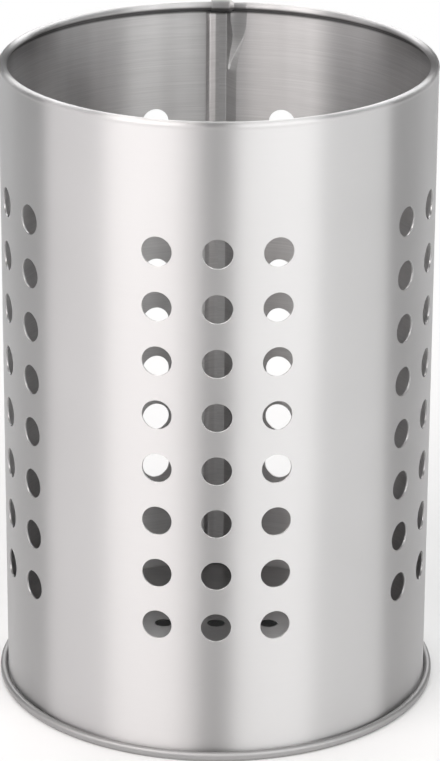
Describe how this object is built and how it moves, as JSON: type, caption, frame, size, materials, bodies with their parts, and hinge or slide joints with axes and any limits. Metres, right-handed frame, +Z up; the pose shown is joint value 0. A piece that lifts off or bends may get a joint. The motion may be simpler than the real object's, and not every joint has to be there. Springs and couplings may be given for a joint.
{
  "type": "utensil holder",
  "caption": "Free-standing open steel cylinder for kitchen utensils, with a perforated wall, lock seam, curled rim and drained base seamed to its foot.",
  "frame": {"origin": "centre of the foot, on the plane that the holder stands on", "axes": "+Z up along the cylinder's axis; -Y towards the middle column of holes seen in front, +Y towards the lock seam at the back"},
  "size_m": [0.123, 0.123, 0.1806],
  "materials": {
    "wall_steel": "satin, brushed round the wall",
    "base_steel": "satin"
  },
  "bodies": {
    "root": {"perforated_wall": "wall_steel", "base_pan": "base_steel"}
  },
  "joints": []
}
